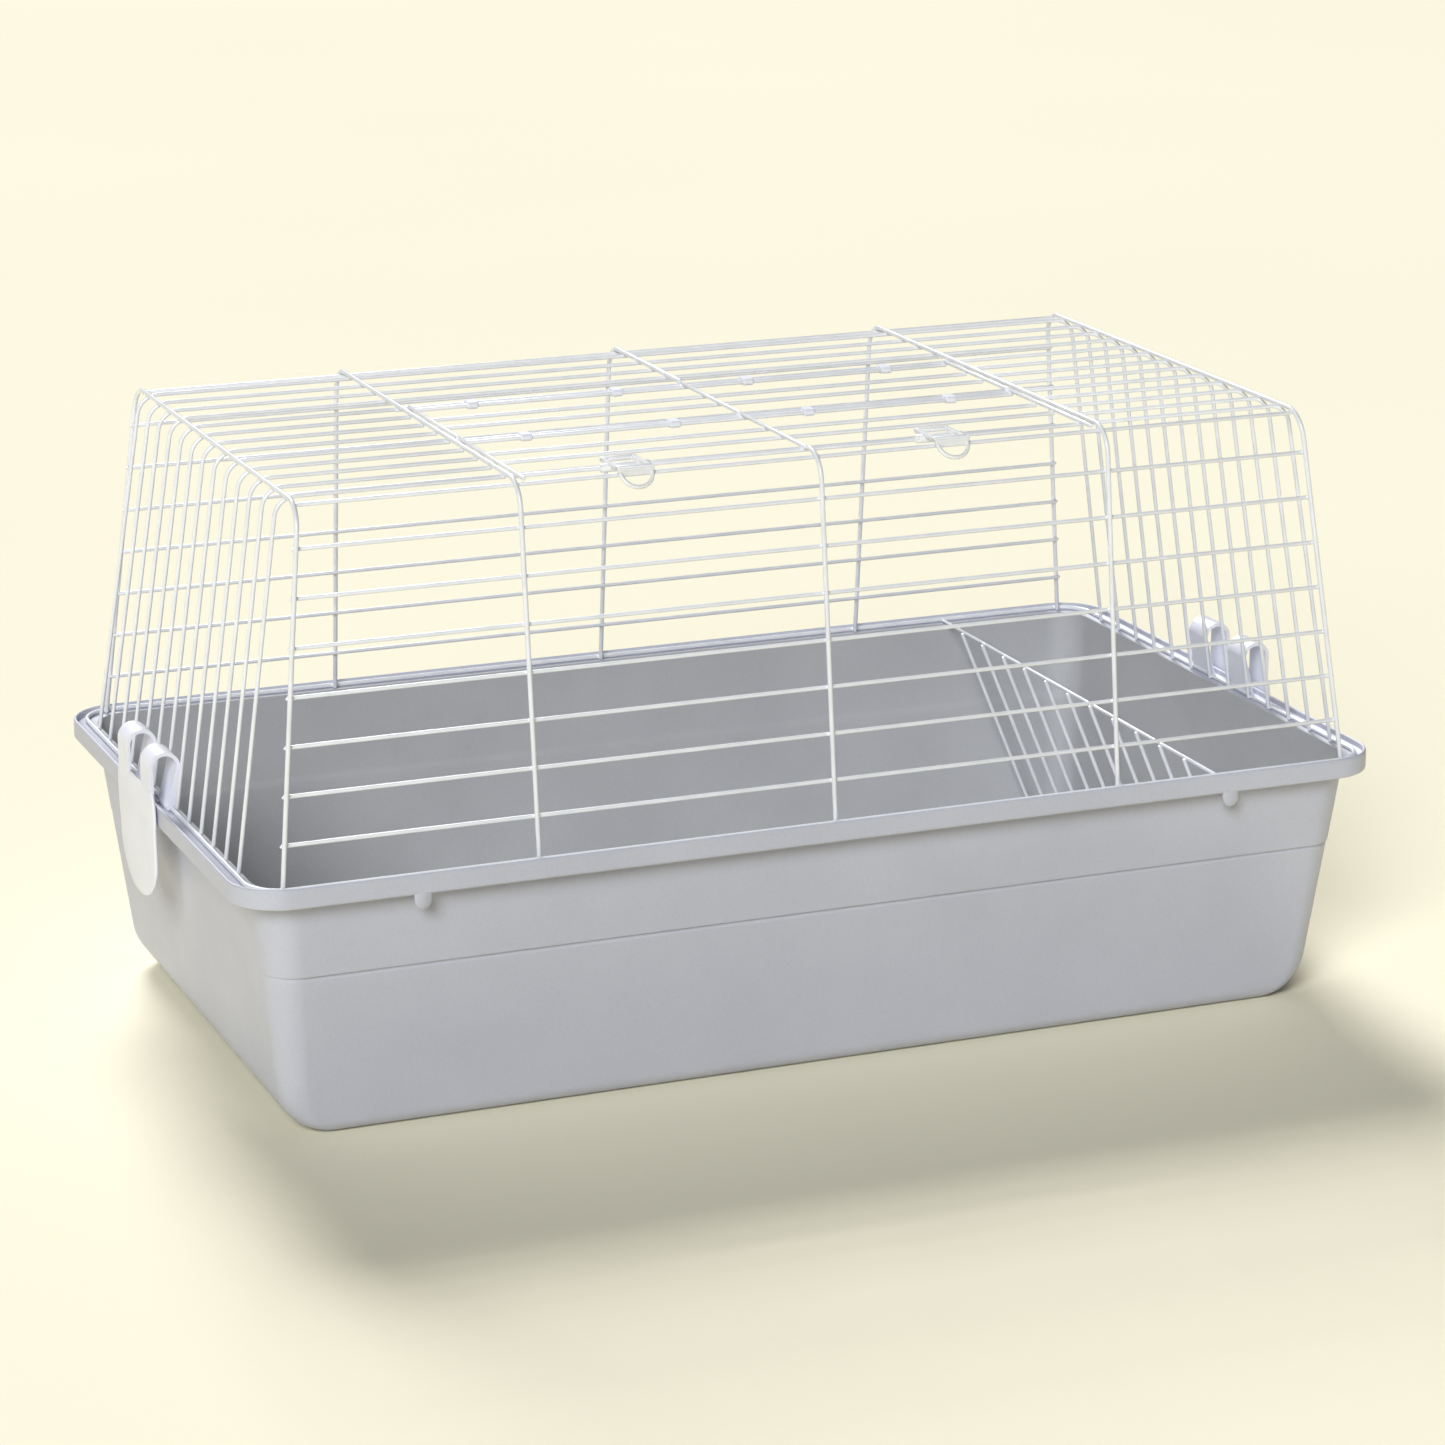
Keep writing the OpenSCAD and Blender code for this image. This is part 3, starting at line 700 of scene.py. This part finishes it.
def build_leaves():
    """Both leaves of the roof door, and the clips that hinge them on the bar and on each other."""
    front_low, front_high = lo_hi("front_leaf_frame")
    rear_edge = lo_hi("rear_leaf_frame")[1].y - LEAF_R
    front_edge = front_high.y - LEAF_R
    infill_half, first, pitch = 0.017, 0.0479, 0.0343
    rear_span = (rear_edge + 0.0006, FOLD.y - 0.0009)
    leaf_pieces(
        "rear_leaf", "rear_leaf", "rear_leaf_frame", "rear_leaf_wires",
        (rear_edge, FOLD.y), (infill_half, -infill_half), rear_span, rear_span,
    )
    front_rows = (front_edge - first, front_edge - first - pitch)
    leaf_pieces(
        "front_leaf", "front_leaf", "front_leaf_frame", "front_leaf_wires",
        (front_edge, LATCH_AXIS.y), front_rows,
        (front_edge + 0.001, front_low.y), (front_edge + 0.001, LATCH_AXIS.y - 0.006),
    )
    hinge_clip_set("rear_hinge_clip_set", "rear_leaf", "rear_hinge_clips", HINGE_Y, rear_edge, HOOP_R)
    hinge_clip_set("fold_hinge_clip_set", "front_leaf", "fold_hinge_clips", FOLD.y, front_edge, LEAF_R)


def stadium(y0, z0, r0, y1, z1, r1, steps=12):
    """Outline of two discs and the straight sides that join them, y0 behind y1."""
    half_turn = [180 * i / steps for i in range(steps + 1)]
    rear = arc(y0, z0, r0, [90 - a for a in half_turn])
    return rear + arc(y1, z1, r1, [-90 - a for a in half_turn])


def hinge_clip_set(name, body, node, eye_y, grip_y, shaft):
    """Moulded blocks with a round eye on the pivot wire and a grip on the leaf's edge wire."""
    soft = 0.0007
    half = CLIP_PLACES[0] - lo_hi(node)[0].x
    eye, grip = shaft + 0.0017, LEAF_R + 0.0013
    mesher = Mesher()
    for x in CLIP_PLACES:
        rings = []
        for offset, inset in ((-half, soft), (-half + soft, 0), (half - soft, 0), (half, soft)):
            outline = stadium(eye_y, HINGE_Z, eye - inset, grip_y, HINGE_Z, grip - inset)
            rings.append([Vector((x + offset, y, z)) for y, z in outline])
        mesher.rings(rings)
    finish_piece(mesher.build(name, CLIP), body, "white_plastic", node)


build_leaves()


# ---------------------------------------------------------------- latches

latch_low, latch_high = lo_hi("latch_left")
SLEEVE_HALF = (latch_high.x - latch_low.x) / 2
SLEEVE_RADIUS, BAR_RADIUS = 0.0036, 0.0023
LIP_HALF = 0.015
LOOP_RADIUS, LOOP_WIRE, LOOP_TILT = 0.0132, 0.0017, math.radians(50)


def box_shell(mesher, origin, low, high, soft=0.0007):
    """A block between two corners, both measured from an origin, with softened edges."""
    low, high = origin + Vector(low), origin + Vector(high)
    middle, half = (low + high) / 2, (high - low) / 2
    rings = []
    for x, inset in ((low.x, soft), (low.x + soft, 0), (high.x - soft, 0), (high.x, soft)):
        centre = Vector((x, middle.y, middle.z))
        radius = soft + 0.0003 - inset * 0.5
        rings.append(rounded_rectangle(centre, ALONG_Y, ALONG_Z, half.y - inset, half.z - inset, radius, 3))
    mesher.rings(rings)


def across_tube(mesher, origin, half, y, z, radius, sides):
    """A rod along X, at a place measured from an origin."""
    middle = origin + Vector((0, y, z))
    mesher.tube([middle - ALONG_X * half, middle + ALONG_X * half], radius, sides)


def latch_piece(name, axis, body, node):
    """A sleeve on the leaf's front wire, two arms and bars, and a lip that ends in the finger loop."""
    mesher = Mesher()
    arm_wide, arm_low, arm_high = 0.004, 0.0014, 0.0052
    rear_bar, front_bar = 0.0158, -0.0205
    lip_back, lip_front, lip_low = -0.0246, -0.027, -0.0026
    shelf_top, lip_top = arm_high - 0.0006, arm_high - 0.002
    across_tube(mesher, axis, SLEEVE_HALF, 0, 0, SLEEVE_RADIUS, 24)
    for bar_y in (rear_bar, front_bar):
        across_tube(mesher, axis, LIP_HALF, bar_y, (arm_low + arm_high) / 2, BAR_RADIUS, 18)
    for start in (-LIP_HALF, LIP_HALF - arm_wide):
        box_shell(mesher, axis, (start, front_bar, arm_low), (start + arm_wide, rear_bar, arm_high))
    box_shell(mesher, axis, (-LIP_HALF, lip_front, arm_low), (LIP_HALF, front_bar, shelf_top))
    box_shell(mesher, axis, (-LIP_HALF, lip_front, lip_low), (LIP_HALF, lip_back, lip_top))
    centre = axis + Vector((0, lip_front + 0.001, lip_low + 0.003))
    down = -ALONG_Y * math.cos(LOOP_TILT) - ALONG_Z * math.sin(LOOP_TILT)
    steps = 28
    loop = [around(centre, ALONG_X, down, LOOP_RADIUS, math.pi * i / steps) for i in range(steps + 1)]
    mesher.tube(loop, LOOP_WIRE)
    finish_piece(mesher.build(name, LATCH), body, "latch_plastic", node)


for latch in ("latch_left", "latch_right"):
    latch_piece(latch + "_body", joint(latch + "_pivot"), latch, latch)


# ---------------------------------------------------------------- rim clips

clip_low, clip_high = lo_hi("clip_right")
PLATE_HALF, PLATE_TOP, PLATE_BOTTOM = 0.059, 0.236, clip_low.z
PLATE_THICK = 0.003
PLATE_INNER = clip_high.x - PLATE_THICK
ARM_HALF = 0.015
ARCH_RADIUS, ARM_THICK = 0.013, 0.0032
ARCH_TOP, ARCH_X = clip_high.z, clip_high.x - ARCH_RADIUS
PLATE_PROFILE = (
    (0.237, PLATE_INNER),
    (0.206, PLATE_INNER),
    (0.180, PLATE_INNER - 0.0006),
    (0.150, PLATE_INNER - 0.0008),
    (0.129, PLATE_INNER),
)


def plate_inner(z):
    """Distance of the plate's inner face from the middle, at a height."""
    for (z1, x1), (z0, x0) in zip(PLATE_PROFILE, PLATE_PROFILE[1:]):
        if z >= z0:
            return x0 + (x1 - x0) * (z - z0) / (z1 - z0)
    return PLATE_PROFILE[-1][1]


def plate_half(z):
    """Half width of the plate at a height: shoulders that meet the arms, straight sides, a round end."""
    end_height, shoulder, flare = 0.041, 0.022, 0.004
    side_start = PLATE_BOTTOM + end_height
    narrow = PLATE_HALF - flare
    if z > side_start:
        half = narrow + flare * (z - side_start) / (PLATE_TOP - side_start)
        rise = max(0.0, (z - PLATE_TOP + shoulder) / shoulder)
        return half - (half - FOOT_PITCH - ARM_HALF) * rise**2
    drop = (side_start - z) / end_height
    return narrow * math.sqrt(max(0.0, 1 - drop * drop))


def clip_plate(mesher, side, middle):
    """The tongue: rings stacked downward, each a thin rounded slot seen from above."""
    rings = []
    soft = PLATE_THICK / 2
    levels, crowding, turns = 40, 1.6, 8
    blunt, edge_depth = 0.35, 0.0015
    for i in range(levels + 1):
        z = PLATE_BOTTOM + (PLATE_TOP - PLATE_BOTTOM) * (1 - i / levels) ** crowding
        to_edge = min(PLATE_TOP - z, max(z - PLATE_BOTTOM, 0.0))
        thin = soft * min(1.0, blunt + to_edge / edge_depth)
        half = max(plate_half(z), thin * 1.05)
        x = plate_inner(z) + soft
        ring = []
        for end in (1, -1):
            for j in range(turns + 1):
                a = math.pi * j / turns - math.pi / 2
                out = half - thin + thin * math.cos(a)
                ring.append(Vector((side * (x + end * thin * math.sin(a)), middle + end * out, z)))
        rings.append(ring)
    if side > 0:
        rings = [list(reversed(ring)) for ring in rings]
    mesher.rings(rings)


def arm_outline():
    """Profile of an arm, distance against height: up over the arch, down to the open eye and back."""
    centre_z, foot_z = ARCH_TOP - ARCH_RADIUS, PLATE_TOP - 0.010
    inner_radius = ARCH_RADIUS - ARM_THICK
    eye, bore = 0.0045, HOOP_R + 0.00005
    sunk, steps = 0.0002, 18
    half_turn = [180 * i / steps for i in range(steps + 1)]
    foot = [(ARCH_X + ARCH_RADIUS - sunk, foot_z), (ARCH_X + ARCH_RADIUS, PLATE_TOP + 0.001)]
    outer_arch = arc(ARCH_X, centre_z, ARCH_RADIUS, half_turn)
    eye_tip = [(BASE_X - 0.0030, BASE_Z + 0.0040)] + arc(BASE_X, BASE_Z, eye, (150, 156))
    around_wire = arc(BASE_X, BASE_Z, bore, range(190, -57, -12))
    eye_back = arc(BASE_X, BASE_Z, eye, (-22, 0, 20, 40)) + [(BASE_X + 0.0027, BASE_Z + 0.0045)]
    inner_arch = arc(ARCH_X, centre_z, inner_radius, reversed(half_turn))
    closing = [(ARCH_X + inner_radius, foot_z)]
    return foot + outer_arch + eye_tip + around_wire + eye_back + inner_arch + closing


def clip_piece(name, side, body, node):
    """A rim clip: the plate, and two arms that hang it over the rim, each in a gap between uprights."""
    middle = joint(body + "_pivot").y
    mesher = Mesher()
    clip_plate(mesher, side, middle)
    plate = mesher.build(name, CLIP, math.radians(50))
    arms = Mesher()
    outline = arm_outline()
    for step in (-1, 1):
        y = middle + step * FOOT_PITCH
        rings = [[Vector((side * px, y + dy, pz)) for px, pz in outline] for dy in (-ARM_HALF, ARM_HALF)]
        if side > 0:
            rings.reverse()
        arms.rings(rings)
    arm_piece = arms.build(name + "_arms", CLIP, math.radians(30))
    bevel(arm_piece, 0.0007, math.radians(60))
    finish_piece(plate, body, "white_plastic", node)
    finish_piece(arm_piece, body, "white_plastic")


for clip, side in (("clip_left", -1), ("clip_right", 1)):
    clip_piece(clip + "_plate", side, clip, clip)


# ---------------------------------------------------------------- hay rack


def build_rack():
    """The sloping hay rack: two rails, a slat at each end and nine between them."""
    low, high = lo_hi("hay_rack_frame")
    slat_high = lo_hi("hay_rack_slats")[1]
    lean, bottom_z, side_slats = 0.415, 0.010, 5
    pitch = (slat_high.y - THIN_R) / (side_slats - 1)
    top_z = high.z - RACK_R
    bottom_x = high.x - RACK_R
    top = Vector((bottom_x - lean * (top_z - bottom_z), 0, top_z))
    foot = Vector((bottom_x, 0, bottom_z))
    along = (foot - top).normalized()

    def slat(y, radius):
        off = Vector((along.z, 0, -along.x)) * (RACK_R + radius - WELD)
        place = Vector((0, y, 0))
        return [top + off - along * 0.0012 + place, foot + off + along * 0.0006 + place]

    half = side_slats * pitch
    rail_half = half + 0.0012
    rails = Mesher()
    rails.tube([(top.x, low.y, top.z), (top.x, high.y, top.z)], RACK_R)
    rails.tube([(foot.x, -rail_half, foot.z), (foot.x, rail_half, foot.z)], RACK_R)
    for y in (-half, half):
        rails.tube(slat(y, RACK_R), RACK_R)
    slats = Mesher()
    for i in range(1 - side_slats, side_slats):
        path = slat(i * pitch, THIN_R)
        slats.tube(path, THIN_R)
        for end in path:
            toward = end + Vector((-along.z, 0, along.x)) * THIN_R
            slats.blob(toward, ALONG_Y, 0.0029, 0.0012)
    finish_piece(rails.build("rack_frame", COAT), "hay_rack", "white_wire", "hay_rack_frame")
    finish_piece(slats.build("rack_slats", COAT), "hay_rack", "white_wire", "hay_rack_slats")


build_rack()


# ---------------------------------------------------------------- floor, light and camera


def floor_material():
    material, tree, shader = new_material("floor_paper")
    tint = ramp(tree, noise(tree, 0.6, 2), (0.905, 0.860, 0.680), (0.92, 0.875, 0.695))
    tree.links.new(tint, shader.inputs["Base Color"])
    shader.inputs["Roughness"].default_value = 0.95
    shader.inputs["Specular IOR Level"].default_value = 0.1
    return material


def build_stage():
    """A floor whose edge is so far off that it shows only in views from low down."""
    size = 40
    corners = [(-size, -size, 0), (size, -size, 0), (size, size, 0), (-size, size, 0)]
    floor = make_object("floor", [Vector(c) for c in corners], [(0, 1, 2, 3)], floor_material())


def sun(name, direction, strength, angle, colour=(1, 1, 1)):
    """A far light that shines along a direction, softer the wider its angle."""
    lamp = bpy.data.lights.new(name, "SUN")
    lamp.energy = strength
    lamp.angle = math.radians(angle)
    lamp.color = colour
    obj = bpy.data.objects.new(name, lamp)
    obj.rotation_euler = Vector(direction).to_track_quat("-Z", "Y").to_euler()
    bpy.context.scene.collection.objects.link(obj)


def build_light():
    """A soft light from behind, which lays the shadow toward the camera, and one from the front left."""
    world = bpy.data.worlds.new("studio")
    world.use_nodes = True
    tree = world.node_tree
    background = tree.nodes["Background"]
    background.inputs["Color"].default_value = (0.983, 0.947, 0.765, 1)
    # The world lights the scene only faintly, but the camera sees it as pale as the floor
    path = tree.nodes.new("ShaderNodeLightPath")
    strength = tree.nodes.new("ShaderNodeMapRange")
    strength.inputs["To Min"].default_value = 0.02
    strength.inputs["To Max"].default_value = 1.0
    tree.links.new(path.outputs["Is Camera Ray"], strength.inputs["Value"])
    tree.links.new(strength.outputs["Result"], background.inputs["Strength"])
    bpy.context.scene.world = world
    sun("back_light", (-0.06, -0.80, -0.62), 3.40, 20)
    sun("front_left_light", (0.54, 0.72, -0.56), 2.4, 26, (0.95, 0.975, 1.0))


def build_camera():
    """A long lens at the photograph's angle, aimed by azimuth and elevation."""
    azimuth, elevation, roll = math.radians(-21.674), math.radians(16.014), math.radians(-0.274)
    distance = 3.8757
    aim = Vector((0.0106, -0.0007, 0.2304))
    flat = Vector((-math.sin(azimuth), math.cos(azimuth), 0))
    forward = flat * math.cos(elevation) - Vector((0, 0, math.sin(elevation)))
    right = forward.cross(Vector((0, 0, 1))).normalized()
    up = right.cross(forward)
    across = right * math.cos(roll) + up * math.sin(roll)
    upward = up * math.cos(roll) - right * math.sin(roll)
    data = bpy.data.cameras.new("camera")
    data.lens = 111.88
    data.sensor_width = 36
    data.clip_end = 200
    camera = bpy.data.objects.new("camera", data)
    place = aim - forward * distance
    camera.matrix_world = Matrix((
        (across.x, upward.x, -forward.x, place.x),
        (across.y, upward.y, -forward.y, place.y),
        (across.z, upward.z, -forward.z, place.z),
        (0, 0, 0, 1),
    ))
    bpy.context.scene.collection.objects.link(camera)
    bpy.context.scene.camera = camera


build_stage()
build_light()
build_camera()
bpy.context.scene.view_settings.view_transform = "Standard"

bpy.context.view_layer.update()
